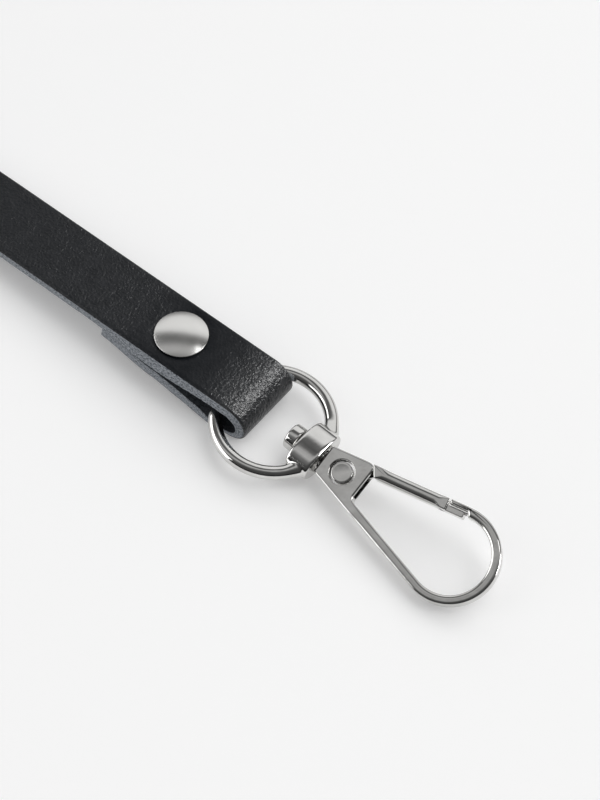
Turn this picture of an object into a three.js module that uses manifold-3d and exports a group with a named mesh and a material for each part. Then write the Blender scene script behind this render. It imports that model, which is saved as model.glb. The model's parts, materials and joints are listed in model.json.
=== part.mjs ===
// Wristlet keychain: a leather wrist strap that carries a cast ring and a swivelling snap hook.
// Millimetres, +Z up, +X along the strap towards the hook, +Y towards the side of the hook's gate.

import * as THREE from 'three';
import { mergeVertices } from 'three/addons/utils/BufferGeometryUtils.js';
import Module from 'manifold-3d';

const wasm = await Module();
wasm.setup();

// ---------------------------------------------------------------- driving dimensions

const gap = 0.3; // clearance between pieces that touch or turn in each other

const strap = {
  width: 15,
  thick: 2.1,
  rise: THREE.MathUtils.degToRad(2.7), // the strap climbs towards its fold
  foldRadius: 3.6, // middle of the leather round the ring
  foldX: -4.25, // centre of the fold, its outermost point is close to x = 0
  tailLift: THREE.MathUtils.degToRad(2), // slope of the tail where it leaves the fold
  rivetX: -22,
  tailEnd: -36,
  loopRivetX: -92,
  loopTailEnd: -78,
  loopTop: 44,
};

const rivet = {
  capRadius: 5.4,
  domeHeight: 1.5,
  baseHeight: 1.1,
  shell: 0.4,
  seat: 0.1, // the rim stands this far off the leather
  tubeRadius: 1.5,
  postRadius: 0.8,
  holeRadius: 1.8,
};

const ring = { radius: 11.34, wire: 1.41 };

// The collar is cast in one piece with the ring and is the bearing of the swivel. start and end are
// along the stem.
const collar = { toRing: 9.35, start: -2.1, end: 3.3, halfWidth: 5.6, halfHeight: 3.4, bore: 1.9, edge: 0.5 };

const stud = { headRadius: 2.75, headStart: -4.9, headEnd: -2.4, shank: 1.55, tenon: 1.05 };

// Hook sizes are along the stem from the middle of the collar.
const hook = {
  plateStart: 3.7,
  plateEnd: 13,
  plateCorner: 1.9,
  top: 1.9, // upper face above the stem's axis
  plateBottom: -1.9,
  barBottom: -1.2,
  bar: 1.95, // width of the frame's bar
  edge: 0.35,
  loopX: 34.85,
  loopRadius: 9.73,
  flare: THREE.MathUtils.degToRad(12.45),
  lipX: 28.6,
  shoulderX: 32.3,
  lip: 0.9,
  slotHalf: 1.2,
  slotRadius: 3.3,
};

const gate = { width: 2.5, rootRadius: 6.3, tongueX: 31.8, eye: 3, tangBottom: -0.95, tangTop: -0.1 };

const pin = { x: 8.3, radius: 2.15 };

const spring = { wire: 0.34, radius: 2.75, pitch: 0.42, turns: 1.5, bottom: 0.3, leg: 1.9 };

// How the ring and hook lie beside the strap.
const lie = {
  collar: new THREE.Vector3(11.89, -1.59, 4.52),
  yaw: THREE.MathUtils.degToRad(-1.5),
  pitch: THREE.MathUtils.degToRad(-0.7),
  ringRoll: THREE.MathUtils.degToRad(2),
  hookRoll: THREE.MathUtils.degToRad(22),
};

// ---------------------------------------------------------------- materials

const finish = (color, roughness, metalness) =>
  new THREE.MeshStandardMaterial({ color, roughness, metalness });

const leather = () => finish(0x17181a, 0.55, 0);
const nickel = () => finish(0xb4b2ae, 0.15, 1);
const satinNickel = () => finish(0xc6c4be, 0.3, 1);
const springSteel = () => finish(0x8d9094, 0.35, 1);

// ---------------------------------------------------------------- solids

function solidOf(geometry) {
  const bare = geometry.clone();
  bare.deleteAttribute('normal');
  bare.deleteAttribute('uv');
  const merged = mergeVertices(bare, 1e-5);
  return new wasm.Manifold(new wasm.Mesh({
    numProp: 3,
    vertProperties: new Float32Array(merged.attributes.position.array),
    triVerts: new Uint32Array(merged.index.array),
  }));
}

function geometryOf(solid) {
  const mesh = solid.getMesh();
  const geometry = new THREE.BufferGeometry();
  geometry.setAttribute('position', new THREE.BufferAttribute(mesh.vertProperties, 3));
  geometry.setIndex(new THREE.BufferAttribute(mesh.triVerts, 1));
  geometry.computeVertexNormals();
  return geometry;
}

const join = (first, ...others) =>
  geometryOf(others.reduce((sum, other) => sum.add(solidOf(other)), solidOf(first)));

const cut = (body, ...tools) =>
  geometryOf(tools.reduce((left, tool) => left.subtract(solidOf(tool)), solidOf(body)));

// A flat outline made solid between two heights, with a bevel on its edges.
function slab(shape, bottom, top, edge = 0, curveSegments = 20) {
  const geometry = new THREE.ExtrudeGeometry(shape, {
    depth: top - bottom - 2 * edge,
    bevelEnabled: edge > 0,
    bevelThickness: edge,
    bevelSize: edge,
    bevelOffset: -edge,
    bevelSegments: 1,
    curveSegments,
  });
  return geometry.translate(0, 0, bottom + edge);
}

// A turned solid about Z from a closed profile of [radius, height] points, in either direction.
function turned(profile, segments = 28) {
  const points = profile.map(([r, z]) => new THREE.Vector2(r, z));
  if (THREE.ShapeUtils.isClockWise(points)) points.reverse();
  return new THREE.LatheGeometry(points, segments).rotateX(Math.PI / 2);
}

// The same about X.
const turnedAlongX = (profile, segments) => turned(profile, segments).rotateY(Math.PI / 2);

function rodZ(x, y, radius, bottom, top, segments = 32) {
  return new THREE.CylinderGeometry(radius, radius, top - bottom, segments)
    .rotateX(Math.PI / 2)
    .translate(x, y, (top + bottom) / 2);
}

function piece(name, geometry, material) {
  const mesh = new THREE.Mesh(geometry, material);
  mesh.name = name;
  return mesh;
}

// ---------------------------------------------------------------- strap

const layer = strap.thick + gap; // from one layer's middle to the next
const foldZ = strap.foldRadius + strap.thick / 2 + 0.05;
const climb = Math.tan(strap.rise);
const foldTop = new THREE.Vector2(
  strap.foldX - strap.foldRadius * Math.sin(strap.rise),
  foldZ + strap.foldRadius * Math.cos(strap.rise),
);
const upperAt = (x) => foldTop.y + (x - foldTop.x) * climb;
const lowerAt = (x) => upperAt(x) - layer / Math.cos(strap.rise);
const loopLower = rivet.baseHeight + rivet.seat + strap.thick / 2;
const loopUpper = loopLower + layer;
const floorRun = strap.thick / 2;

// Middle line of the strip, from the tail under the ring's rivet to the tail of the wrist loop.
function stripPath() {
  const { foldX, foldRadius, rise, tailLift, tailEnd, rivetX, loopRivetX, loopTailEnd, loopTop } = strap;
  const pocketX = rivetX + 5;
  const foldOut = new THREE.Vector2(
    foldX - foldRadius * Math.sin(tailLift),
    foldZ - foldRadius * Math.cos(tailLift),
  );
  const path = new THREE.Path();
  path.moveTo(tailEnd, lowerAt(tailEnd));
  path.lineTo(pocketX, lowerAt(pocketX));
  path.bezierCurveTo(
    pocketX + 3, lowerAt(pocketX + 3),
    foldOut.x - 9.5 * Math.cos(tailLift), foldOut.y + 9.5 * Math.sin(tailLift),
    foldOut.x, foldOut.y,
  );
  path.absarc(foldX, foldZ, foldRadius, -Math.PI / 2 - tailLift, Math.PI / 2 + rise, false);
  path.lineTo(loopRivetX + 22, upperAt(loopRivetX + 22));
  path.bezierCurveTo(
    loopRivetX + 16, upperAt(loopRivetX + 16),
    loopRivetX + 13, loopUpper,
    loopRivetX + 8, loopUpper,
  );
  path.lineTo(loopRivetX - 8, loopUpper);
  path.bezierCurveTo(-124, loopUpper, -134, loopTop, -164, loopTop);
  path.bezierCurveTo(-205, loopTop, -208, floorRun, -168, floorRun);
  path.lineTo(loopRivetX - 24, floorRun);
  path.bezierCurveTo(
    loopRivetX - 17, floorRun,
    loopRivetX - 15, loopLower,
    loopRivetX - 8, loopLower,
  );
  path.lineTo(loopTailEnd, loopLower);
  return path;
}

// The strip's outline: the middle line moved half a thickness to each side.
function stripOutline() {
  const middle = [];
  for (const curve of stripPath().curves) {
    const steps = curve.isLineCurve ? 1 : 12;
    const points = curve.getPoints(steps);
    middle.push(...(middle.length ? points.slice(1) : points));
  }
  const half = strap.thick / 2;
  const left = [];
  const right = [];
  middle.forEach((point, i) => {
    const before = middle[Math.max(i - 1, 0)];
    const after = middle[Math.min(i + 1, middle.length - 1)];
    const along = after.clone().sub(before).normalize();
    const across = new THREE.Vector2(-along.y, along.x).multiplyScalar(half);
    left.push(point.clone().add(across));
    right.push(point.clone().sub(across));
  });
  return new THREE.Shape([...left, ...right.reverse()]);
}

function strapPiece() {
  const strip = new THREE.ExtrudeGeometry(stripOutline(), { depth: strap.width, bevelEnabled: false })
    .rotateX(Math.PI / 2)
    .translate(0, strap.width / 2, 0);
  const ringHole = rodZ(0, 0, rivet.holeRadius, -5, 5, 20).applyMatrix4(seatOf('ring'));
  const loopHole = rodZ(0, 0, rivet.holeRadius, -5, 5, 20).applyMatrix4(seatOf('loop'));
  return piece('strap', cut(strip, ringHole, loopHole), leather());
}

// ---------------------------------------------------------------- rivets

// Where a rivet stands: the middle of its two layers, square to the leather.
function seatOf(which) {
  if (which === 'ring') {
    const middle = (upperAt(strap.rivetX) + lowerAt(strap.rivetX)) / 2;
    return new THREE.Matrix4()
      .makeTranslation(strap.rivetX, 0, middle)
      .multiply(new THREE.Matrix4().makeRotationY(-strap.rise));
  }
  return new THREE.Matrix4().makeTranslation(strap.loopRivetX, 0, (loopUpper + loopLower) / 2);
}

// A domed shell with a rolled rim, open below, its rim at height 0.
function domeProfile(height) {
  const { capRadius, shell } = rivet;
  const steps = 6;
  const arc = (radius, top, from, to) => Array.from({ length: steps + 1 }, (_, i) => {
    const t = (Math.PI / 2) * (from + ((to - from) * i) / steps);
    return [radius * Math.sin(t), 0.28 + (top - 0.28) * Math.cos(t) ** 1.15];
  });
  const outer = arc(capRadius, height, 0, 1);
  const inner = arc(capRadius - shell, height - shell, 1, 0);
  return [...outer, [capRadius - 0.08, 0.06], [capRadius - 0.2, 0], [capRadius - shell, 0], ...inner];
}

function rivetPieces(which) {
  const { seat, tubeRadius, postRadius, domeHeight, baseHeight } = rivet;
  const face = strap.thick + gap / 2; // outer face of a layer from the middle of the two
  const flange = 4.2;
  const cap = turned(domeProfile(domeHeight)).translate(0, 0, face + seat);
  const base = turned(domeProfile(baseHeight)).rotateX(Math.PI).translate(0, 0, -face - seat);
  const socket = turned([
    [0, face + 0.45], [flange, face + 0.4], [flange, face + 0.15], [tubeRadius, face + 0.15],
    [tubeRadius, -face + 0.3], [postRadius + gap, -face + 0.3], [postRadius + gap, face - 0.2],
    [0, face - 0.2],
  ], 24);
  const post = turned([
    [0, -face - 0.45], [flange, -face - 0.4], [flange, -face - 0.15],
    [postRadius, -face - 0.15], [postRadius, face - 0.6], [0, face - 0.5],
  ], 24);
  const parts = [
    piece(`${which}_rivet_cap`, cap, satinNickel()),
    piece(`${which}_rivet_socket`, socket, satinNickel()),
    piece(`${which}_rivet_post`, post, satinNickel()),
    piece(`${which}_rivet_base_cap`, base, satinNickel()),
  ];
  parts.forEach((part) => part.applyMatrix4(seatOf(which)));
  return parts;
}

// ---------------------------------------------------------------- ring and swivel

function ringPiece() {
  const { toRing, start, end, halfWidth, halfHeight, bore, edge } = collar;
  const hoop = new THREE.TorusGeometry(ring.radius, ring.wire, 12, 56)
    .translate(-toRing, 0, 0);
  const opening = new THREE.BoxGeometry(10, 8.4, 10).translate(1, 0, 0);
  const oval = new THREE.Shape();
  oval.absellipse(0, 0, halfWidth, halfHeight, 0, 2 * Math.PI);
  const barrel = slab(oval, start, end, edge)
    .rotateZ(Math.PI / 2)
    .rotateY(Math.PI / 2);
  const hole = turnedAlongX([[0, -4], [bore, -4], [bore, 4], [0, 4]], 24);
  return piece('ring', cut(join(cut(hoop, opening), barrel), hole), nickel());
}

function studPiece() {
  const { headRadius, headStart, headEnd, shank, tenon } = stud;
  const tenonStart = hook.plateStart - gap;
  const round = 0.55;
  const rim = [0, 30, 60, 90].map((angle) => {
    const a = THREE.MathUtils.degToRad(angle);
    return [headRadius - round + round * Math.sin(a), headStart + round - round * Math.cos(a)];
  });
  const body = turnedAlongX([
    [0, headStart], ...rim, [headRadius, headEnd - 0.2], [headRadius - 0.2, headEnd],
    [shank, headEnd], [shank, tenonStart], [tenon, tenonStart],
    [tenon, tenonStart + 1.4], [0, tenonStart + 1.4],
  ], 28);
  return piece('swivel_stud', body, nickel());
}

// ---------------------------------------------------------------- hook

const { flare } = hook;

// Half the width of the hook's outline at a distance along the stem.
const outlineAt = (x) => hook.loopRadius / Math.cos(flare) - (hook.loopX - x) * Math.tan(flare);

// A point on the gate's side of the outline, moved inwards by a depth.
function onFlank(x, depth) {
  return [x + depth * Math.sin(flare), outlineAt(x) - depth * Math.cos(flare)];
}

function plateShape() {
  const { plateStart, plateEnd, plateCorner } = hook;
  const shape = new THREE.Shape();
  shape.moveTo(plateStart, -outlineAt(plateStart));
  shape.lineTo(plateEnd, -outlineAt(plateEnd));
  shape.lineTo(plateEnd, outlineAt(plateEnd) - plateCorner);
  shape.quadraticCurveTo(
    plateEnd, outlineAt(plateEnd),
    plateEnd - plateCorner, outlineAt(plateEnd - plateCorner),
  );
  shape.lineTo(plateStart, outlineAt(plateStart));
  return shape;
}

function frameShape() {
  const { plateStart, plateEnd, plateCorner, loopX, loopRadius, bar, lipX, shoulderX, lip } = hook;
  const innerCorner = bar / Math.cos(flare) - outlineAt(plateEnd);
  const fillet = 1;
  const shape = new THREE.Shape();
  shape.moveTo(plateStart, -outlineAt(plateStart));
  shape.lineTo(plateEnd, -outlineAt(plateEnd));
  shape.absarc(loopX, 0, loopRadius, -Math.PI / 2 - flare, Math.PI / 2 + flare, false);
  shape.lineTo(...onFlank(lipX, 0));
  shape.lineTo(...onFlank(lipX, lip));
  shape.lineTo(...onFlank(shoulderX, lip));
  shape.absarc(loopX, 0, loopRadius - bar, Math.PI / 2 + flare, -Math.PI / 2 - flare, true);
  shape.lineTo(plateEnd + fillet, innerCorner - fillet * Math.tan(flare));
  shape.quadraticCurveTo(plateEnd, innerCorner, plateEnd, innerCorner + fillet);
  shape.lineTo(plateEnd, outlineAt(plateEnd) - plateCorner);
  shape.quadraticCurveTo(
    plateEnd, outlineAt(plateEnd),
    plateEnd - plateCorner, outlineAt(plateEnd - plateCorner),
  );
  shape.lineTo(plateStart, outlineAt(plateStart));
  return shape;
}

// The slot in the plate where the gate's eye and the spring sit on the pin.
function slotShape() {
  const { plateEnd, slotRadius } = hook;
  const shape = new THREE.Shape();
  shape.absarc(pin.x, 0, slotRadius, Math.PI / 2, (3 * Math.PI) / 2, false);
  shape.lineTo(plateEnd + 1, -2.2);
  shape.lineTo(plateEnd + 1, 8);
  shape.lineTo(pin.x + 1.2, 8);
  shape.lineTo(pin.x + 1.2, slotRadius);
  return shape;
}

function hookPiece() {
  const { top, plateBottom, barBottom, edge, slotHalf, plateStart } = hook;
  const body = join(
    slab(frameShape(), barBottom, top, edge, 18),
    slab(plateShape(), plateBottom, top, edge),
  );
  const tenonHole = turnedAlongX([
    [0, plateStart - 1], [stud.tenon + gap, plateStart - 1],
    [stud.tenon + gap, pin.x - 2], [0, pin.x - 2],
  ], 24);
  return piece('hook_body', cut(
    body,
    slab(slotShape(), -slotHalf, slotHalf),
    rodZ(pin.x, 0, pin.radius + gap, -4, 4, 36),
    tenonHole,
  ), nickel());
}

function gatePiece() {
  const { width, rootRadius, tongueX, eye, tangBottom, tangTop } = gate;
  const { lip, lipX, barBottom, top, edge } = hook;
  const shape = new THREE.Shape();
  const lap = lip + gap + 0.15;
  const root = rootArc(width, rootRadius);
  shape.absarc(pin.x, 0, rootRadius, root.outerAngle, root.innerAngle, true);
  shape.lineTo(...onFlank(tongueX - 0.3, width));
  shape.lineTo(...onFlank(tongueX, lap));
  shape.lineTo(...onFlank(lipX - gap, lap));
  shape.lineTo(...onFlank(lipX - gap, 0));
  const bar = slab(shape, barBottom, top, edge, 2);

  const tang = new THREE.Shape();
  const neck = 1.5;
  const reach = rootRadius + 1.2;
  const angle = (root.innerAngle + root.outerAngle) / 2;
  const side = Math.asin(neck / eye);
  const spread = Math.asin(neck / reach);
  const polar = (r, a) => [pin.x + r * Math.cos(a), r * Math.sin(a)];
  tang.moveTo(...polar(eye, angle + side));
  tang.absarc(pin.x, 0, eye, angle + side, angle - side + 2 * Math.PI, false);
  tang.lineTo(...polar(reach, angle - spread));
  tang.lineTo(...polar(reach, angle + spread));
  const joined = join(bar, slab(tang, tangBottom, tangTop));
  return piece('gate', cut(joined, rodZ(pin.x, 0, pin.radius + gap, -4, 4, 32)), nickel());
}

// Angles about the pin at which the gate's flanks meet its round root, clear of the plate's corner.
function rootArc(width, radius) {
  const meet = (depth) => {
    let x = pin.x;
    while (Math.hypot(onFlank(x, depth)[0] - pin.x, onFlank(x, depth)[1]) < radius) x += 0.01;
    const [alongStem, aside] = onFlank(x, depth);
    return Math.atan2(aside, alongStem - pin.x);
  };
  return { outerAngle: meet(0), innerAngle: meet(width) };
}

const pinPiece = () => {
  const { top, plateBottom } = hook;
  const body = turned([
    [0, plateBottom + 0.1], [pin.radius - 0.2, plateBottom + 0.1], [pin.radius, plateBottom + 0.3],
    [pin.radius, top - 0.3], [pin.radius - 0.2, top - 0.1], [0, top - 0.1],
  ], 32);
  return piece('gate_pin', body.translate(pin.x, 0, 0), nickel());
};

// A torsion spring round the pin, one leg on the slot's wall and one along the gate's neck.
function springPiece() {
  const { wire, radius, pitch, turns, bottom, leg } = spring;
  const startAngle = THREE.MathUtils.degToRad(215);
  const points = [];
  const steps = 26;
  for (let i = 0; i <= steps; i += 1) {
    const turn = (turns * i) / steps;
    const angle = startAngle - 2 * Math.PI * turn;
    points.push(new THREE.Vector3(
      pin.x + radius * Math.cos(angle), radius * Math.sin(angle), bottom + pitch * turn,
    ));
  }
  const last = points[points.length - 1];
  const beforeLast = points[points.length - 2];
  const onward = last.clone().sub(beforeLast).setZ(0).normalize();
  points.push(last.clone().addScaledVector(onward, leg * 0.5), last.clone().addScaledVector(onward, leg));
  const section = new THREE.Shape();
  section.absarc(0, 0, wire / 2, 0, 2 * Math.PI);
  const body = new THREE.ExtrudeGeometry(section, {
    steps: 44,
    curveSegments: 4,
    bevelEnabled: false,
    extrudePath: new THREE.CatmullRomCurve3(points),
  });
  return piece('gate_spring', body, springSteel());
}

// ---------------------------------------------------------------- assembly

const onStem = (roll) => {
  const group = new THREE.Group();
  group.position.copy(lie.collar);
  group.rotation.set(roll, lie.pitch, lie.yaw, 'ZYX');
  return group;
};

const ringGroup = onStem(lie.ringRoll).add(ringPiece());
const hookGroup = onStem(lie.hookRoll)
  .add(studPiece(), hookPiece(), gatePiece(), pinPiece(), springPiece());

const keychain = new THREE.Group();
keychain.add(strapPiece(), ...rivetPieces('ring'), ...rivetPieces('loop'), ringGroup, hookGroup);

// The origin is under the middle of the keychain, on the surface that it lies on.
const box = new THREE.Box3().setFromObject(keychain, true);
const middle = box.getCenter(new THREE.Vector3());
keychain.position.set(-middle.x, -middle.y, -box.min.z);

const group = new THREE.Group();
group.add(keychain);
export default group;
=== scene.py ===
"""Wristlet keychain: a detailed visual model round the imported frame."""

import json
import math

import bmesh
import bpy
import numpy as np
from mathutils import Matrix, Vector, noise


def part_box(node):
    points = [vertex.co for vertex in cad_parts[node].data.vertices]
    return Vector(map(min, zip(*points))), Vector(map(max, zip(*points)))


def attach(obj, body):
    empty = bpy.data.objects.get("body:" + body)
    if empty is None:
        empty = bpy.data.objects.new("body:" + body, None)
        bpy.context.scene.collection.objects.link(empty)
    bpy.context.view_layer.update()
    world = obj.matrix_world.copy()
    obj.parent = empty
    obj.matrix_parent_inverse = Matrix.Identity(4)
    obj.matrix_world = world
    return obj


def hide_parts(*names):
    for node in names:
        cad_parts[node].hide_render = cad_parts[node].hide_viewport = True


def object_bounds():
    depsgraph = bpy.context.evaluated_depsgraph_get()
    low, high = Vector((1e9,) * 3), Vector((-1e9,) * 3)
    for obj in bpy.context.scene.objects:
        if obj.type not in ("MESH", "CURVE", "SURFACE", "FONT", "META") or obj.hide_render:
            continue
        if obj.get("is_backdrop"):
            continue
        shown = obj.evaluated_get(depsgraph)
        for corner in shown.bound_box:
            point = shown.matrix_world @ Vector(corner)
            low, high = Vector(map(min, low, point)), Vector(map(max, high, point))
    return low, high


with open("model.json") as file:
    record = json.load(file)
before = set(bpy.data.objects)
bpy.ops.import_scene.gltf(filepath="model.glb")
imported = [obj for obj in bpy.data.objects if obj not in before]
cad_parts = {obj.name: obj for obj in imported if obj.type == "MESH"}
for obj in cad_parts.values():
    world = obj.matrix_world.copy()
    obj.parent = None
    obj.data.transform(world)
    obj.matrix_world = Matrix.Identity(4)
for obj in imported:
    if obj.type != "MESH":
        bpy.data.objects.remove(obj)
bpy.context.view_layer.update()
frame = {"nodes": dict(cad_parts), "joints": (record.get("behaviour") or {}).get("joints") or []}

# ---------------------------------------------------------------- sizes, and places from the frame, in mm

JOINTS = {j["name"]: j for j in frame["joints"]}
strap_low, strap_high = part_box("strap")
THICK = 2.1
WIDTH = 15.0
# The strap is laid out from its fold: x = 0 is near the fold's front and y = 0 is the strap's middle.
FOLD_RADIUS = 3.6
FOLD_X = -4.25
SHIFT_X = strap_high.x * 1000 - (FOLD_X + FOLD_RADIUS + THICK / 2)
SHIFT_Y = (strap_low.y + strap_high.y) * 500
STEM_YAW, STEM_PITCH = math.radians(-1.5), math.radians(-0.7)
RING_ROLL, HOOK_ROLL = math.radians(2), math.radians(22)


def stem_frame(roll):
    """Frame on the swivel's axis, at the middle of the collar, in mm. Its x runs out along the stem."""
    place = Matrix.Translation(Vector(JOINTS["hook_swivel"]["pos_m"]) * 1000)
    yaw = Matrix.Rotation(STEM_YAW, 4, "Z")
    pitch = Matrix.Rotation(STEM_PITCH, 4, "Y")
    return place @ yaw @ pitch @ Matrix.Rotation(roll, 4, "X")


RING_FRAME = stem_frame(RING_ROLL)
HOOK_FRAME = stem_frame(HOOK_ROLL)
LAYOUT = Matrix.Translation((SHIFT_X, SHIFT_Y, 0))
TO_METRES = Matrix.Scale(0.001, 4)

# ---------------------------------------------------------------- node materials


class Nodes:
    """A short way to write a material's node tree."""

    def __init__(self, tree):
        self.tree = tree
        self.tree.nodes.clear()

    def add(self, kind, **values):
        node = self.tree.nodes.new(kind)
        for key, value in values.items():
            if key.startswith("in_"):
                self.feed(node.inputs[key[3:].replace("_", " ")], value)
            else:
                setattr(node, key, value)
        return node

    def feed(self, socket, value):
        if isinstance(value, bpy.types.NodeSocket):
            self.tree.links.new(value, socket)
        else:
            socket.default_value = value

    def math(self, operation, first, second):
        node = self.add("ShaderNodeMath", operation=operation)
        self.feed(node.inputs[0], first)
        self.feed(node.inputs[1], second)
        return node.outputs[0]

    def weigh(self, first, weight, second, other_weight):
        """The sum of two values, each times its own weight."""
        return self.math("ADD", self.math("MULTIPLY", first, weight),
                         self.math("MULTIPLY", second, other_weight))

    def ramp(self, factor, *stops):
        """A colour ramp. A stop is (position, grey value) or (position, (r, g, b))."""
        node = self.add("ShaderNodeValToRGB")
        self.feed(node.inputs[0], factor)
        elements = node.color_ramp.elements
        while len(elements) < len(stops):
            elements.new(0.5)
        for element, (position, color) in zip(elements, stops):
            element.position = position
            element.color = (*color, 1) if isinstance(color, tuple) else (color, color, color, 1)
        return node.outputs[0]

    def noise(self, vector, scale, detail, roughness=0.5):
        node = self.add("ShaderNodeTexNoise")
        self.feed(node.inputs["Vector"], vector)
        node.inputs["Scale"].default_value = scale
        node.inputs["Detail"].default_value = detail
        node.inputs["Roughness"].default_value = roughness
        return node.outputs["Fac"]

    def stretch(self, vector, scale):
        node = self.add("ShaderNodeMapping")
        self.feed(node.inputs["Vector"], vector)
        node.inputs["Scale"].default_value = scale
        return node.outputs[0]

    def bump(self, height, strength, distance):
        node = self.add("ShaderNodeBump")
        node.inputs["Strength"].default_value = strength
        node.inputs["Distance"].default_value = distance
        self.feed(node.inputs["Height"], height)
        return node.outputs[0]


# The strap's patterns lie in its "strip" coordinates, in mm along and round the strip, and the metals' in
# metres. Bump distances are in metres in both.


def material(name):
    mat = bpy.data.materials.new(name)
    mat.use_nodes = True
    return mat, Nodes(mat.node_tree)


def finish_material(nodes, shader):
    output = nodes.add("ShaderNodeOutputMaterial")
    nodes.tree.links.new(shader.outputs[0], output.inputs[0])


def nickel(name, color, dull, low, high, wave=0.0):
    """Plated metal with faint smears in its colour and gloss. Its roughness runs from low to high.
    wave is how uneven the surface is."""
    mat, n = material(name)
    place = n.add("ShaderNodeTexCoord").outputs["Object"]
    smear = n.noise(place, 260.0, 4.0)
    fine = n.noise(place, 2600.0, 2.0)
    shader = n.add("ShaderNodeBsdfPrincipled", in_Metallic=1.0)
    n.feed(shader.inputs["Base Color"], n.ramp(smear, (0.35, dull), (0.7, color)))
    n.feed(shader.inputs["Roughness"], n.ramp(n.weigh(smear, 0.75, fine, 0.25), (0.3, low), (0.75, high)))
    if wave:
        n.feed(shader.inputs["Normal"], n.bump(n.noise(place, 420.0, 2.0), wave, 0.0004))
    finish_material(n, shader)
    return mat


LEATHER_DARK, LEATHER_LIGHT = (0.0026, 0.0038, 0.0058), (0.0062, 0.0078, 0.0108)
GRAIN_DEPTH = 0.00034


def grain_material():
    """Pebbled black leather on the strip's outer face, rougher and glossier where flex is high."""
    mat, n = material("leather_grain")
    place = n.add("ShaderNodeUVMap", uv_map="strip").outputs[0]
    flex = n.add("ShaderNodeAttribute", attribute_name="flex").outputs["Fac"]
    soft = n.noise(place, 0.35, 3.0)
    warp = n.noise(place, 1.1, 2.0)
    moved = n.add("ShaderNodeVectorMath", operation="ADD")
    n.feed(moved.inputs[0], place)
    n.feed(moved.inputs[1], warp)
    pebbles = n.add("ShaderNodeTexVoronoi", feature="SMOOTH_F1")
    n.feed(pebbles.inputs["Vector"], moved.outputs[0])
    pebbles.inputs["Scale"].default_value = 1.9
    pebbles.inputs["Smoothness"].default_value = 0.6
    creases = n.noise(n.stretch(place, (0.9, 1.6, 1.0)), 2.4, 5.0, 0.62)
    height = n.weigh(pebbles.outputs["Distance"], -0.75, creases, 0.6)
    shader = n.add("ShaderNodeBsdfPrincipled")
    n.feed(shader.inputs["Base Color"], n.ramp(n.weigh(soft, 0.6, creases, 0.4), (0.3, LEATHER_DARK),
                                               (0.7, LEATHER_LIGHT)))
    n.feed(shader.inputs["Specular IOR Level"], n.math("MULTIPLY", flex, 0.75))
    n.feed(shader.inputs["Roughness"], n.ramp(soft, (0.3, 0.30), (0.7, 0.39)))
    n.feed(shader.inputs["Normal"], n.bump(n.math("MULTIPLY", height, flex), 1.0, GRAIN_DEPTH))
    finish_material(n, shader)
    return mat


def fibre_material(name, dark, light, rough, depth, scale):
    """Raw leather: fibres and specks, on the cut edges and the inner face."""
    mat, n = material(name)
    place = n.add("ShaderNodeUVMap", uv_map="strip").outputs[0]
    fibres = n.noise(n.stretch(place, (1.0, 2.2, 1.0)), scale, 6.0, 0.7)
    specks = n.noise(place, scale * 2.6, 3.0, 0.6)
    mixed = n.weigh(fibres, 0.65, specks, 0.35)
    shader = n.add("ShaderNodeBsdfPrincipled", in_Roughness=rough, in_Specular_IOR_Level=0.2)
    n.feed(shader.inputs["Base Color"], n.ramp(mixed, (0.40, dark), (0.61, light)))
    n.feed(shader.inputs["Normal"], n.bump(mixed, 0.9, depth))
    finish_material(n, shader)
    return mat


POLISHED = nickel("nickel_polished", (0.70, 0.695, 0.68), (0.62, 0.615, 0.60),
                  low=0.05, high=0.10, wave=0.05)
CAST = nickel("nickel_cast", (0.67, 0.665, 0.65), (0.58, 0.575, 0.56), low=0.06, high=0.13, wave=0.08)
SATIN = nickel("nickel_satin", (0.74, 0.735, 0.72), (0.68, 0.675, 0.66), low=0.20, high=0.26)
WIRE = nickel("spring_wire", (0.50, 0.51, 0.53), (0.42, 0.43, 0.45), low=0.20, high=0.32)
GRAIN = grain_material()
EDGE = fibre_material("leather_edge", (0.03, 0.038, 0.05), (0.50, 0.53, 0.57),
                      rough=0.8, depth=0.00016, scale=1.7)
FLESH = fibre_material("leather_flesh", (0.018, 0.021, 0.026), (0.06, 0.066, 0.076),
                       rough=0.9, depth=0.0002, scale=1.2)

# ---------------------------------------------------------------- mesh helpers


def make(name, vertices, faces, place, body, materials, face_material=None):
    """A mesh object from points in mm in a given frame. It rides on a body."""
    mesh = bpy.data.meshes.new(name)
    mesh.from_pydata([tuple(v) for v in vertices], [], [tuple(f) for f in faces])
    mesh.transform(TO_METRES @ place)
    for mat in materials:
        mesh.materials.append(mat)
    if face_material is not None:
        mesh.polygons.foreach_set("material_index", face_material)
    mesh.update()
    obj = bpy.data.objects.new(name, mesh)
    bpy.context.scene.collection.objects.link(obj)
    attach(obj, body)
    return obj


def face_out(mesh):
    bm = bmesh.new()
    bm.from_mesh(mesh)
    bmesh.ops.recalc_face_normals(bm, faces=bm.faces)
    bm.to_mesh(mesh)
    bm.free()


def smooth_shading(mesh, sharp):
    """Smooth, but for the edges that turn by more degrees than sharp."""
    mesh.shade_smooth()
    mesh.set_sharp_from_angle(angle=math.radians(sharp))


def apply_modifiers(obj):
    bpy.context.view_layer.update()
    graph = bpy.context.evaluated_depsgraph_get()
    mesh = bpy.data.meshes.new_from_object(obj.evaluated_get(graph))
    obj.modifiers.clear()
    obj.data = mesh


def loft(rings, closed=False):
    """Faces between rings of equal length. closed joins the last ring to the first, else ends are capped."""
    count = len(rings[0])
    vertices = [p for ring in rings for p in ring]
    faces = []
    last = len(rings) if closed else len(rings) - 1
    for i in range(last):
        low = i * count
        high = ((i + 1) % len(rings)) * count
        for j in range(count):
            k = (j + 1) % count
            faces.append((low + j, low + k, high + k, high + j))
    if not closed:
        faces.append(tuple(range(count))[::-1])
        faces.append(tuple(range(len(vertices) - count, len(vertices))))
    return vertices, faces


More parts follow.
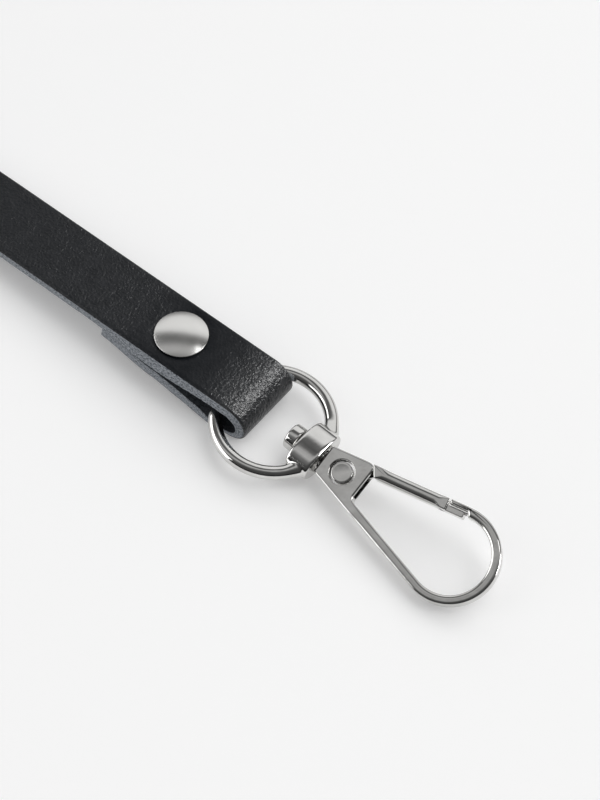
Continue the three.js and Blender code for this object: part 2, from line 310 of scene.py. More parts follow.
def turned(profile, segments):
    """Points [radius, height] turned about Z. A radius of 0 closes the end in a point."""
    vertices, faces, rows = [], [], []
    for radius, height in profile:
        if radius < 1e-6:
            rows.append([len(vertices)] * segments)
            vertices.append((0, 0, height))
        else:
            rows.append(list(range(len(vertices), len(vertices) + segments)))
            for k in range(segments):
                angle = 2 * math.pi * k / segments
                vertices.append((radius * math.cos(angle), radius * math.sin(angle), height))
    for low, high in zip(rows, rows[1:]):
        for k in range(segments):
            m = (k + 1) % segments
            corners = []
            for index in (low[k], low[m], high[m], high[k]):
                if index not in corners:
                    corners.append(index)
            if len(corners) > 2:
                faces.append(tuple(corners))
    return vertices, faces


def fillet(points, radius, steps):
    """Rounds every corner of an open profile of [r, z] points but its two ends. A rounding takes up just
    under half of each side at most."""
    out = [points[0]]
    for before, corner, after in zip(points, points[1:], points[2:]):
        a = Vector(before) - Vector(corner)
        b = Vector(after) - Vector(corner)
        reach = min(radius, a.length * 0.48, b.length * 0.48)
        start = Vector(corner) + a.normalized() * reach
        end = Vector(corner) + b.normalized() * reach
        for i in range(steps + 1):
            t = i / steps
            p = start * (1 - t) ** 2 + Vector(corner) * 2 * t * (1 - t) + end * t ** 2
            out.append((p.x, p.y))
    out.append(points[-1])
    return out


def smooth(value, low, high):
    """0 below low, 1 above high, with an easy run between."""
    t = min(max((value - low) / (high - low), 0.0), 1.0)
    return t * t * (3 - 2 * t)


# ---------------------------------------------------------------- strap

RISE = math.radians(2.7)
TAIL_LIFT = math.radians(2)
RIVET_X = -22.0
TAIL_END = -36.0
LOOP_RIVET_X = -92.0
LOOP_TAIL_END = -78.0
BASE_HEIGHT = 1.1
SEAT = 0.1
LAYER = THICK + 0.3
FOLD_Z = FOLD_RADIUS + THICK / 2 + 0.05
CLIMB = math.tan(RISE)
FOLD_TOP = (FOLD_X - FOLD_RADIUS * math.sin(RISE), FOLD_Z + FOLD_RADIUS * math.cos(RISE))

# The wrist loop stands beyond its rivet, and its two layers lie flat for CLAMP on both sides of that rivet.
# LOOP_CREST is the x of its top, LOOP_BACK the x that its far side is drawn towards and LOOP_LANDING the x
# where it comes down.
CLAMP = 8
LOOP_LOWER = BASE_HEIGHT + SEAT + THICK / 2
LOOP_UPPER = LOOP_LOWER + LAYER
LOOP_TOP = 44.0
LOOP_CREST = -164
LOOP_BACK = -206.5
LOOP_LANDING = -168
ON_TABLE = THICK / 2

# The strip's section: CORNER rounds the grain side's edges, and the cut runs slanting down to FOOT above the
# flesh side, where it turns in by UNDERCUT.
CORNER = 0.42
FOOT = 0.1
UNDERCUT = 0.12
FAR_FLARE = 0.05
CUT_ROWS, GRAIN_ROWS, FLESH_ROWS = 6, 26, 25
FOLD_STEP, SEEN_STEP, LOOP_STEP = 0.3, 0.4, 1.3
DISH_DEPTH = 0.14
# A face's kind is also the number of its material.
GRAIN_SIDE, CUT_EDGE, FLESH_SIDE = 0, 1, 2


def upper_at(x):
    return FOLD_TOP[1] + (x - FOLD_TOP[0]) * CLIMB


def lower_at(x):
    return upper_at(x) - LAYER / math.cos(RISE)


def bezier(p0, p1, p2, p3, count):
    t = np.linspace(0, 1, count)[:, None]
    p0, p1, p2, p3 = (np.array(p, float) for p in (p0, p1, p2, p3))
    return (1 - t) ** 3 * p0 + 3 * (1 - t) ** 2 * t * p1 + 3 * (1 - t) * t ** 2 * p2 + t ** 3 * p3


def straight(p0, p1, count):
    t = np.linspace(0, 1, count)[:, None]
    return np.array(p0, float) * (1 - t) + np.array(p1, float) * t


def strip_path():
    """The strip's middle line, (x, z), from the tail under the ring's rivet to the loop's tail."""
    pocket = RIVET_X + 5
    out = (FOLD_X - FOLD_RADIUS * math.sin(TAIL_LIFT), FOLD_Z - FOLD_RADIUS * math.cos(TAIL_LIFT))
    arc = np.linspace(-math.pi / 2 - TAIL_LIFT, math.pi / 2 + RISE, 220)
    leave = LOOP_RIVET_X + 22
    near, far = LOOP_RIVET_X + CLAMP, LOOP_RIVET_X - CLAMP
    lift_off = LOOP_RIVET_X - 24
    pieces = [
        straight((TAIL_END, lower_at(TAIL_END)), (pocket, lower_at(pocket)), 200),
        bezier((pocket, lower_at(pocket)), (pocket + 3, lower_at(pocket + 3)),
               (out[0] - 9.5 * math.cos(TAIL_LIFT), out[1] + 9.5 * math.sin(TAIL_LIFT)), out, 200),
        np.stack([FOLD_X + FOLD_RADIUS * np.cos(arc), FOLD_Z + FOLD_RADIUS * np.sin(arc)], 1),
        straight(FOLD_TOP, (leave, upper_at(leave)), 500),
        bezier((leave, upper_at(leave)), (leave - 6, upper_at(leave - 6)),
               (near + 5, LOOP_UPPER), (near, LOOP_UPPER), 100),
        straight((near, LOOP_UPPER), (far, LOOP_UPPER), 50),
        bezier((far, LOOP_UPPER), (far - 24, LOOP_UPPER),
               (LOOP_CREST + 30, LOOP_TOP), (LOOP_CREST, LOOP_TOP), 300),
        bezier((LOOP_CREST, LOOP_TOP), (LOOP_BACK + 1.5, LOOP_TOP),
               (LOOP_BACK - 1.5, ON_TABLE), (LOOP_LANDING, ON_TABLE), 400),
        straight((LOOP_LANDING, ON_TABLE), (lift_off, ON_TABLE), 100),
        bezier((lift_off, ON_TABLE), (lift_off + 7, ON_TABLE),
               (far - 7, LOOP_LOWER), (far, LOOP_LOWER), 100),
        straight((far, LOOP_LOWER), (LOOP_TAIL_END, LOOP_LOWER), 60),
    ]
    return np.concatenate([pieces[0]] + [piece[1:] for piece in pieces[1:]])


def stations(line):
    """Places along the line: how far along, x, z, the direction there, then where the front of the fold
    is and the whole length. They are closest at the fold and wide apart in the wrist loop."""
    steps = np.hypot(*np.diff(line, axis=0).T)
    run = np.concatenate([[0], np.cumsum(steps)])
    total = run[-1]
    fold = run[np.argmax(line[:, 0])]
    marks = [0.0]
    while marks[-1] < total:
        away = marks[-1] - fold
        if abs(away) < 12:
            step = FOLD_STEP
        else:
            step = SEEN_STEP if -40 < away < 62 else LOOP_STEP
        marks.append(marks[-1] + step)
    marks[-1] = total
    marks = np.array(marks)
    x = np.interp(marks, run, line[:, 0])
    z = np.interp(marks, run, line[:, 1])
    dx = np.gradient(x, marks)
    dz = np.gradient(z, marks)
    size = np.hypot(dx, dz)
    return marks, x, z, dx / size, dz / size, fold, total


def section(far_flare, near_flare):
    """Outline of the strip across its length, as (across, out, kind of face). The grain side is out > 0.
    A flare is how much wider the flesh side is than the grain side at that edge."""
    half, thick = WIDTH / 2, THICK / 2
    grain_half = half - CORNER

    def side(flare):
        edge = []
        for i in (1, 2, 3):
            angle = math.pi / 2 * (1 - i / 3)
            edge.append((grain_half + CORNER * math.cos(angle), thick - CORNER + CORNER * math.sin(angle),
                         GRAIN_SIDE))
        for i in range(1, CUT_ROWS + 1):
            t = i / CUT_ROWS
            edge.append((half + flare * t, thick - CORNER - (THICK - CORNER - FOOT) * t, CUT_EDGE))
        edge.append((half + flare - UNDERCUT, -thick, CUT_EDGE))
        return edge

    points = [(-grain_half + 2 * grain_half * i / GRAIN_ROWS, thick, GRAIN_SIDE)
              for i in range(GRAIN_ROWS + 1)]
    points += side(far_flare)
    start, end = half + far_flare - UNDERCUT, -(half + near_flare - UNDERCUT)
    points += [(start + (end - start) * i / FLESH_ROWS, -thick, FLESH_SIDE)
               for i in range(1, FLESH_ROWS)]
    near = [(-across, out, kind) for across, out, kind in side(near_flare)][::-1]
    return points + [(near[0][0], near[0][1], FLESH_SIDE)] + near[1:]


def edge_flare(x, past_fold):
    """The near edge's flare: the knife went in at a slant that changes along the strap."""
    if past_fold > 60:
        return 0.1
    upper = 0.1 + 1.0 * smooth(x, -40, -24) - 0.55 * smooth(x, -21, -8)
    lower = 0.5 - 0.85 * smooth(FOLD_X - x, 0.0, 8.0)
    share = smooth(past_fold, -4.0, 4.0)
    return lower * (1 - share) + upper * share


def tail_hang(x, z):
    """How far the tail's sides hang below its middle line at z. They droop to a level that is flat near
    the rivet and falls towards the fold, with a soft bend of size bend between the two."""
    level, falling = 3.55, 2.86 - 0.26 * (x + 18)
    bend = 0.15
    goal = -bend * math.log(math.exp(-level / bend) + math.exp(-falling / bend)) + THICK / 2
    return min(goal - z, 0.0) * smooth(FOLD_X - x, 0.0, 4.0)


def tail_shift(x):
    """How far the tail lies to the near side of the upper layer."""
    shift = 0.35 + 1.0 * smooth(x, -38, -23) - 0.055 * max(x + 20, 0.0)
    return shift * smooth(FOLD_X - x, -2.0, 5.0)


def strap_ring(s, x, z, out, past_fold):
    """The points of one section in place, and their distances round the section."""
    ring, around = [], []
    distance = 0.0
    previous = None
    for across, offset, kind in section(FAR_FLARE, edge_flare(x, past_fold)):
        if previous:
            distance += math.hypot(across - previous[0], offset - previous[1])
        previous = (across, offset)
        p = Vector((x, across, z)) + out * offset
        side = abs(across) / (WIDTH / 2)
        if past_fold < 0:
            p.z += tail_hang(x, z) * smooth(side, 0.3, 1.0)
            p.y -= tail_shift(x)
        elif kind != FLESH_SIDE and offset > 0:
            # The rivet's cap presses a shallow dish into the grain side.
            p.z -= DISH_DEPTH * (1 - smooth(math.hypot(x - RIVET_X, across), 5.0, 7.2))
        rough = noise.noise(Vector((s * 0.9, across * 1.3, offset * 2.5 + 7)))
        wander = noise.noise(Vector((s * 0.13, across * 0.2, 3)))
        if kind == CUT_EDGE:
            p.y += math.copysign(1, across) * (0.05 * rough + 0.06 * wander)
            p += out * 0.03 * rough
        elif kind == GRAIN_SIDE:
            p += out * (0.03 * wander * (1 - side ** 6))
        ring.append(p)
        around.append(distance)
    return ring, around


def face_kinds(kinds, rows):
    """The kind of every face of the loft, whose two caps come last."""
    one_row = []
    for a, b in zip(kinds, kinds[1:] + kinds[:1]):
        one_row.append(a if a == b else CUT_EDGE if CUT_EDGE in (a, b) else GRAIN_SIDE)
    return one_row * rows + [CUT_EDGE, CUT_EDGE]


def lay_coordinates(mesh, strip, count, closing):
    """Writes the "strip" coordinates. closing is the distance round at which a section comes back to its
    first point."""
    layer = mesh.uv_layers.new(name="strip")
    for polygon in mesh.polygons:
        indices = [mesh.loops[i].vertex_index for i in polygon.loop_indices]
        local = [index % count for index in indices]
        wraps = len(indices) == 4 and max(local) - min(local) > 1
        for i, index in zip(polygon.loop_indices, indices):
            along, around = strip[index]
            layer.data[i].uv = (along, closing if wraps and index % count == 0 else around)


def build_strap():
    marks, xs, zs, dxs, dzs, fold, total = stations(strip_path())
    rings, strip, flex = [], [], []
    for s, x, z, dx, dz in zip(marks, xs, zs, dxs, dzs):
        ring, around = strap_ring(s, x, z, Vector((dz, 0, -dx)), s - fold)
        rings.append(ring)
        strip += [(s, distance) for distance in around]
        near_fold = math.exp(-((s - fold) / 9.0) ** 2)
        flex += [0.2 + 0.16 * smooth(-x, 22, 34) + 0.64 * near_fold] * len(ring)
    vertices, faces = loft(rings)
    kinds = [kind for _, _, kind in section(0.0, 0.0)]
    obj = make("strap_leather", vertices, faces, LAYOUT, "strap", [GRAIN, EDGE, FLESH],
               face_kinds(kinds, len(rings) - 1))
    mesh = obj.data
    lay_coordinates(mesh, strip, len(kinds), strip[len(kinds) - 1][1] + 1.0)
    mesh.attributes.new("flex", "FLOAT", "POINT").data.foreach_set("value", flex)
    face_out(mesh)
    smooth_shading(mesh, 55)
    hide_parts("strap")
    return obj


strap = build_strap()

# ---------------------------------------------------------------- rivets

CAP_RADIUS, CAP_SHELL, CAP_RIM = 5.4, 0.4, 0.3
CAP_HEIGHT = 1.5
CAP_SEAT = THICK + 0.15 + SEAT


def rivet_place(which):
    if which == "ring":
        middle = (upper_at(RIVET_X) + lower_at(RIVET_X)) / 2
        return LAYOUT @ Matrix.Translation((RIVET_X, 0, middle)) @ Matrix.Rotation(-RISE, 4, "Y")
    return LAYOUT @ Matrix.Translation((LOOP_RIVET_X, 0, (LOOP_UPPER + LOOP_LOWER) / 2))


def cap_mesh(height):
    """A thin dome with a turned-in rim."""
    rise = height - CAP_RIM
    sphere = (CAP_RADIUS ** 2 + rise ** 2) / (2 * rise)
    reach = math.asin((CAP_RADIUS - 0.12) / sphere)
    outer = []
    for angle in np.linspace(0, reach, 25):
        outer.append((sphere * math.sin(angle), height - sphere * (1 - math.cos(angle))))
    rim = fillet([outer[-1], (CAP_RADIUS, CAP_RIM), (CAP_RADIUS - 0.02, 0.06), (CAP_RADIUS - 0.3, 0.0),
                  (CAP_RADIUS - CAP_SHELL - 0.1, 0.02)], 0.22, 5)[1:]
    inner = [(radius * 0.93, z - CAP_SHELL) for radius, z in outer[::-3]]
    inner[-1] = (0, height - CAP_SHELL)
    return turned(outer + rim + inner, 96)


above_strap = Matrix.Translation((0, 0, CAP_SEAT))
below_strap = Matrix.Rotation(math.pi, 4, "X") @ above_strap
for which in ("ring", "loop"):
    for end, seat, height in (("cap", above_strap, CAP_HEIGHT), ("base_cap", below_strap, BASE_HEIGHT)):
        vertices, faces = cap_mesh(height)
        cap = make(f"{which}_rivet_{end}_dome", vertices, faces, rivet_place(which) @ seat, "strap",
                   [SATIN])
        face_out(cap.data)
        smooth_shading(cap.data, 60)
        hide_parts(f"{which}_rivet_{end}")

# ---------------------------------------------------------------- ring and collar

RING_RADIUS = 11.34
RING_WIRE = 1.41
SWELL_WIDE, SWELL_TALL = 0.42, 0.30
TO_RING = 9.35
COLLAR_HALF_WIDTH = 5.6
COLLAR_HALF_HEIGHT = 3.4
COLLAR_START, COLLAR_END = -2.1, 3.3
COLLAR_BORE = 1.9
COLLAR_EDGE = 0.5
BORE_CHAMFER = 0.25
RING_BREAK = math.radians(15)
SKIN_VOXEL = 0.00014


def ring_mesh():
    """The hoop, open inside the collar by RING_BREAK to both sides, and swelling where it runs into it."""
    rings = []
    for i in range(181):
        angle = RING_BREAK + (2 * math.pi - 2 * RING_BREAK) * i / 180
        nearest = min(angle, 2 * math.pi - angle)
        swell = 1 - smooth(math.degrees(nearest), 20, 44)
        wide = RING_WIRE * (1 + SWELL_WIDE * swell ** 1.5)
        tall = RING_WIRE * (1 + SWELL_TALL * swell ** 1.5)
        ring = []
        for k in range(40):
            turn = 2 * math.pi * k / 40
            r = RING_RADIUS + wide * math.cos(turn) - 0.15 * swell
            ring.append((r * math.cos(angle) - TO_RING, r * math.sin(angle), tall * math.sin(turn)))
        rings.append(ring)
    return loft(rings)


def oval_ring(x, width, height, power):
    """A closed curve across the stem. A power of 2 is an ellipse and a higher one is squarer."""
    ring = []
    for k in range(96):
        angle = 2 * math.pi * k / 96
        c, s = math.cos(angle), math.sin(angle)
        ring.append((x, width * math.copysign(abs(c) ** (2 / power), c),
                     height * math.copysign(abs(s) ** (2 / power), s)))
    return ring


def collar_mesh():
    """An oval barrel with rounded ends and a round bore."""
    start, end = [], []
    for i in range(8):
        angle = math.pi / 2 * i / 7
        in_by = COLLAR_EDGE * (1 - math.cos(angle))
        down_by = COLLAR_EDGE * (1 - math.sin(angle))
        oval = (COLLAR_HALF_WIDTH - down_by, COLLAR_HALF_HEIGHT - down_by, 2.25)
        start.append(oval_ring(COLLAR_START + in_by, *oval))
        end.append(oval_ring(COLLAR_END - in_by, *oval))
    mouth = COLLAR_BORE + BORE_CHAMFER
    bore = [oval_ring(x, radius, radius, 2.0) for x, radius in (
        (COLLAR_END, mouth), (COLLAR_END - BORE_CHAMFER, COLLAR_BORE),
        (COLLAR_START + BORE_CHAMFER, COLLAR_BORE), (COLLAR_START, mouth))]
    return loft(start + end[::-1] + bore, closed=True)


def melt(obj):
    """One cast skin over pieces that pass into each other, with soft corners."""
    face_out(obj.data)
    obj.data.shade_smooth()
    skin = obj.modifiers.new("skin", "REMESH")
    skin.mode = "VOXEL"
    skin.voxel_size = SKIN_VOXEL
    skin.use_smooth_shade = True
    soft = obj.modifiers.new("soft", "SMOOTH")
    soft.factor = 0.5
    soft.iterations = 12
    apply_modifiers(obj)
    obj.data.shade_smooth()


vertices, faces = ring_mesh()
more, more_faces = collar_mesh()
faces = faces + [tuple(i + len(vertices) for i in face) for face in more_faces]
ring = make("ring_cast", vertices + more, faces, RING_FRAME, "ring", [POLISHED])
melt(ring)
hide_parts("ring")

# ---------------------------------------------------------------- swivel stud

PLATE_START, PLATE_END = 3.7, 13.0
HEAD_START, HEAD_END, HEAD_RADIUS = -4.9, -2.4, 2.75
STEM_RADIUS, NECK_RADIUS = 1.55, 1.05
SHOULDER, STUD_END = PLATE_START - 0.3, PLATE_START + 1.1
ALONG_STEM = Matrix.Rotation(math.pi / 2, 4, "Y")

profile = fillet([(0, HEAD_START), (HEAD_RADIUS, HEAD_START), (HEAD_RADIUS, HEAD_END),
                  (STEM_RADIUS, HEAD_END), (STEM_RADIUS, SHOULDER), (NECK_RADIUS, SHOULDER),
                  (NECK_RADIUS, STUD_END), (0, STUD_END)], 0.5, 7)
vertices, faces = turned(profile, 72)
stud = make("stud_turned", vertices, faces, HOOK_FRAME @ ALONG_STEM, "hook", [POLISHED])
face_out(stud.data)
smooth_shading(stud.data, 50)
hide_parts("swivel_stud")

# ---------------------------------------------------------------- hook

# The hook lies in its own x and y. The loop is an arc, with straight flanks that close in towards the plate.
TOP, PLATE_BOTTOM, BAR_BOTTOM = 1.9, -1.9, -1.2
BAR = 1.95
LOOP_X, LOOP_RADIUS = 34.85, 9.73
FLARE = math.radians(12.45)
PLATE_CORNER = 1.9
CORNER_TURN = 1.0
# The nose ends in a lip over the gate's tongue, from LIP_X to SHOULDER_X.
LIP_X, SHOULDER_X, LIP = 28.6, 32.3, 0.9
PIN_X, PIN_RADIUS = 8.3, 2.15
GROOVE, GROOVE_RIM = 2.5, 0.22
SLOT_RADIUS, SLOT_HALF = 3.3, 1.2
# The gate's root is at GATE_ROOT from the pin, and the plate's lower layer ends inside that.
GATE_WIDTH, GATE_ROOT, TONGUE_X, TONGUE_TOP = 2.5, 6.3, 31.8, 1.3
ROOT_CLEAR = GATE_ROOT - 0.2
LAP = LIP + 0.35


def outline_at(x):
    """Half the hook's width at x, along its flanks."""
    return LOOP_RADIUS / math.cos(FLARE) - (LOOP_X - x) * math.tan(FLARE)


def on_flank(x, depth):
    """The point at a depth inside the upper flank."""
    return (x + depth * math.sin(FLARE), outline_at(x) - depth * math.cos(FLARE))


def arc(cx, cy, radius, start, end, count):
    return [(cx + radius * math.cos(a), cy + radius * math.sin(a)) for a in np.linspace(start, end, count)]


def curve_to(p0, p1, p2, count):
    return [tuple((1 - t) ** 2 * a + 2 * t * (1 - t) * b + t * t * c for a, b, c in zip(p0, p1, p2))
            for t in np.linspace(0, 1, count)]


def plate_corner():
    return curve_to((PLATE_END, outline_at(PLATE_END) - PLATE_CORNER), (PLATE_END, outline_at(PLATE_END)),
                    (PLATE_END - PLATE_CORNER, outline_at(PLATE_END - PLATE_CORNER)), 12)


def frame_outline():
    """The plate's upper layer, the low arm, the loop and the nose in one."""
    inner = BAR / math.cos(FLARE) - outline_at(PLATE_END)
    points = [(PLATE_START, -outline_at(PLATE_START))]
    points += arc(LOOP_X, 0, LOOP_RADIUS, -math.pi / 2 - FLARE, math.pi / 2 + FLARE, 180)
    points += [on_flank(LIP_X, 0), on_flank(LIP_X, LIP), on_flank(SHOULDER_X, LIP)]
    points += arc(LOOP_X, 0, LOOP_RADIUS - BAR, math.pi / 2 + FLARE, -math.pi / 2 - FLARE, 160)
    points += curve_to((PLATE_END + CORNER_TURN, inner - CORNER_TURN * math.tan(FLARE)),
                       (PLATE_END, inner), (PLATE_END, inner + CORNER_TURN), 8)
    points += plate_corner()
    points.append((PLATE_START, outline_at(PLATE_START)))
    return points


def plate_outline():
    """The plate's lower layer. Its corner keeps clear of the gate's root as the gate turns."""
    low = math.acos((PLATE_END - PIN_X) / ROOT_CLEAR)
    high = root_angle(0, ROOT_CLEAR)
    return [(PLATE_START, -outline_at(PLATE_START)), (PLATE_END, -outline_at(PLATE_END)),
            *arc(PIN_X, 0, ROOT_CLEAR, low, high, 8), (PLATE_START, outline_at(PLATE_START))]


def root_angle(depth, radius):
    """The angle at the pin where a line at a depth inside the upper flank is at a radius from it."""
    x = PIN_X
    while True:
        px, py = on_flank(x, depth)
        if math.hypot(px - PIN_X, py) >= radius:
            return math.atan2(py, px - PIN_X)
        x += 0.01


def prism(points, bottom, top):
    """A closed outline raised from bottom to top."""
    count = len(points)
    vertices = [(x, y, bottom) for x, y in points] + [(x, y, top) for x, y in points]
    faces = [tuple(range(count))[::-1], tuple(range(count, 2 * count))]
    faces += [(i, (i + 1) % count, count + (i + 1) % count, count + i) for i in range(count)]
    return vertices, faces


def inset(points, depths):
    """A closed outline, anticlockwise, moved inwards by a depth at each point."""
    moved = []
    for i, depth in enumerate(depths):
        before, here = Vector(points[i - 1]), Vector(points[i])
        after = Vector(points[(i + 1) % len(points)])
        one, two = (here - before).normalized(), (after - here).normalized()
        inward = Vector((-one.y - two.y, one.x + two.x)) / (1 + one.dot(two))
        moved.append(here + inward * depth)
    return moved


def divided(points):
    """The same closed outline with its long edges cut up, so that its shading stays even."""
    longest = 0.8
    out = []
    for i, point in enumerate(points):
        here, after = Vector(point), Vector(points[(i + 1) % len(points)])
        count = max(1, math.ceil((after - here).length / longest))
        out += [tuple(here.lerp(after, k / count)) for k in range(count)]
    return out


def rounded_prism(points, bottom, top, low, high, steps, squash):
    """A prism with rounded rims. low and high give the rounding at each point, or one value for all.
    squash makes the roundings lower than they are wide."""
    rings = []
    for rounding, level, sign in ((low, bottom, 1), (high, top, -1)):
        depths = rounding if isinstance(rounding, list) else [rounding] * len(points)
        for i in range(steps + 1) if sign > 0 else range(steps, -1, -1):
            angle = math.pi / 2 * i / steps
            outline = inset(points, [d * (1 - math.sin(angle)) for d in depths])
            rings.append([(p.x, p.y, level + sign * squash * d * (1 - math.cos(angle)))
                          for p, d in zip(outline, depths)])
    return loft(rings)


def rounded(corners):
    """A closed outline from ((x, y), rounding) corners."""
    points = []
    for i, (corner, rounding) in enumerate(corners):
        here = Vector(corner)
        before, after = Vector(corners[i - 1][0]), Vector(corners[(i + 1) % len(corners)][0])
        start = here + (before - here).normalized() * rounding
        end = here + (after - here).normalized() * rounding
        points += curve_to(start, here, end, 6) if rounding else [corner]
    return points


def shaped(obj, cutters=()):
    """Cuts the holes, keeps the result as the mesh and keeps its flat faces flat."""
    face_out(obj.data)
    obj.data.shade_smooth()
    for cutter in cutters:
        cut = obj.modifiers.new("cut", "BOOLEAN")
        cut.object = cutter
        cut.operation = "DIFFERENCE"
        cut.solver = "MANIFOLD"
    apply_modifiers(obj)
    smooth_shading(obj.data, 40)
    flat = obj.modifiers.new("faces", "WEIGHTED_NORMAL")
    flat.keep_sharp = True
    flat.weight = 90


def cutter_from(name, vertices, faces, place):
    """A plain mesh to cut others with. It is removed before the end."""
    mesh = bpy.data.meshes.new(name)
    mesh.from_pydata(vertices, [], faces)
    mesh.transform(TO_METRES @ place)
    face_out(mesh)
    obj = bpy.data.objects.new(name, mesh)
    bpy.context.scene.collection.objects.link(obj)
    return obj


def hook_piece(name, body, outline, bottom, top, low, high, steps=7, squash=1.0, cutters=()):
    """A rounded prism in the hook's own frame, with its holes cut."""
    vertices, faces = rounded_prism(outline, bottom, top, low, high, steps, squash)
    obj = make(name, vertices, faces, HOOK_FRAME, body, [CAST])
    shaped(obj, cutters)
    return obj


def frame_rounding(x, y):
    """How far the frame's top rim is rounded: least on the lip and the plate, most inside the loop."""
    if y > 6 and LIP_X - 0.1 < x < SHOULDER_X + 0.1 and y > outline_at(x) - 1.2:
        return 0.4
    inner = abs(y) < outline_at(min(x, LOOP_X)) - 1 and math.hypot(max(x - LOOP_X, 0), y) < LOOP_RADIUS - 1
    in_loop = smooth(x, 22, 32)
    return 0.40 + 0.22 * smooth(x, PLATE_END, PLATE_END + 5) + (0.18 if inner else 0.03) * in_loop


# The groove round the pin, with a rounded rim, and the slot for the spring and the gate's eye.
rim = [(GROOVE + GROOVE_RIM * (1 - math.cos(a)), TOP - GROOVE_RIM * (1 - math.sin(a)))
       for a in np.linspace(0, math.pi / 2, 6)]
groove_profile = [(0, -4), (GROOVE, -4)] + rim + [(GROOVE + GROOVE_RIM, 4), (0, 4)]
at_pin = Matrix.Translation((PIN_X, 0, 0))
pin_hole = cutter_from("pin_hole", *turned(groove_profile, 64), HOOK_FRAME @ at_pin)
slot_points = arc(PIN_X, 0, SLOT_RADIUS, math.pi / 2, 3 * math.pi / 2, 24)
slot_points += [(PLATE_END + 1, -2.2), (PLATE_END + 1, 8), (PIN_X + 1.2, 8), (PIN_X + 1.2, SLOT_RADIUS)]
slot_cut = cutter_from("slot_cut", *prism(slot_points, -SLOT_HALF, SLOT_HALF), HOOK_FRAME)

points = divided(frame_outline())
high = [frame_rounding(x, y) for x, y in points]
hook = hook_piece("hook_frame", "hook", points, BAR_BOTTOM, TOP, [0.6 * depth for depth in high], high,
                  squash=0.65, cutters=[pin_hole, slot_cut])
plate = hook_piece("hook_plate_back", "hook", divided(plate_outline()), PLATE_BOTTOM, BAR_BOTTOM + 0.4,
                   0.35, 0.02, cutters=[pin_hole, slot_cut])
for piece in (hook, plate):
    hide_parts("hook_body")

# ---------------------------------------------------------------- gate, pin

EYE_RADIUS, TANG_HALF, TANG_TIP_HALF = 3.0, 1.5, 0.7
TANG_REACH = GATE_ROOT + 0.6


def round_pin(radius, angle):
    return PIN_X + radius * math.cos(angle), radius * math.sin(angle)


outer_angle, inner_angle = root_angle(0, GATE_ROOT), root_angle(GATE_WIDTH, GATE_ROOT)
bar_end = LIP_X - 0.3
points = divided(rounded([
    (round_pin(GATE_ROOT, outer_angle), 0.45), (round_pin(GATE_ROOT, inner_angle), 0.5),
    (on_flank(bar_end, GATE_WIDTH), 0.45), (on_flank(bar_end, 0), 0.45)]))
# The bar is fully rounded along its middle and squarer at both ends.
root_x = round_pin(GATE_ROOT, inner_angle)[0]
high = [0.3 + 0.85 * smooth(x, root_x, root_x + 1.6) * (1 - smooth(x, LIP_X - 2.4, LIP_X - 0.8))
        for x, _ in points]
gate = hook_piece("gate_bar", "gate", points, BAR_BOTTOM, TOP, 0.3, high, 9, 0.75)

inside_bar = LIP_X - 2
points = rounded([(on_flank(inside_bar, LAP), 0), (on_flank(inside_bar, GATE_WIDTH), 0),
                  (on_flank(TONGUE_X, GATE_WIDTH), 0.35), (on_flank(TONGUE_X, LAP), 0.35)])
tongue = hook_piece("gate_tongue", "gate", divided(points), BAR_BOTTOM, TONGUE_TOP, 0.15, 0.2)

ledge_end = TONGUE_X + 0.3
points = [on_flank(inside_bar, LIP + 0.08), on_flank(inside_bar, LAP + 0.3),
          on_flank(ledge_end, LAP + 0.3), on_flank(ledge_end, LIP + 0.08)]
ledge = hook_piece("gate_ledge", "gate", points, BAR_BOTTOM + 0.1, -0.3, 0.05, 0.05)

# The eye on the pin, and a tang that narrows into the bar's root.
middle = (outer_angle + inner_angle) / 2
side = math.asin(TANG_HALF / EYE_RADIUS)
tip = math.asin(TANG_TIP_HALF / TANG_REACH)
points = arc(PIN_X, 0, EYE_RADIUS, middle + side, middle - side + 2 * math.pi, 48)
points += [round_pin(TANG_REACH, middle - tip), round_pin(TANG_REACH, middle + tip)]
eye = hook_piece("gate_eye", "gate", points, -0.95, -0.1, 0.1, 0.1, 3, cutters=[pin_hole])
for piece in (gate, tongue, ledge, eye):
    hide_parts("gate")

pin_bottom = PLATE_BOTTOM + 0.1
profile = fillet([(0, pin_bottom), (PIN_RADIUS, pin_bottom), (PIN_RADIUS, TOP - 0.05),
                  (PIN_RADIUS - 0.4, TOP), (0, TOP - 0.14)], 0.25, 5)
vertices, faces = turned(profile, 72)
pin = make("pin_turned", vertices, faces, HOOK_FRAME @ at_pin, "hook", [CAST])
face_out(pin.data)
smooth_shading(pin.data, 50)
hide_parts("gate_pin")

for cutter in (pin_hole, slot_cut):
    bpy.data.objects.remove(cutter)

# ---------------------------------------------------------------- CAD nodes that stay

KEPT_NODES = {"gate_spring": WIRE, "ring_rivet_socket": SATIN, "ring_rivet_post": SATIN,
              "loop_rivet_socket": SATIN, "loop_rivet_post": SATIN}
for name, mat in KEPT_NODES.items():
    materials = frame["nodes"][name].data.materials
    materials.clear()
    materials.append(mat)

# ---------------------------------------------------------------- stage, camera, light

FLOOR_HALF = 0.45
CAMERA_AZ, CAMERA_EL, CAMERA_ROLL = math.radians(32.28), math.radians(58.84), math.radians(7.43)
TARGET = Vector((3.555 + SHIFT_X, 5.598 + SHIFT_Y, 4.85)) / 1000
DISTANCE = 0.5
FOCAL_LENGTH, SENSOR_WIDTH = 115.2, 36.0
BACKDROP = 0.92


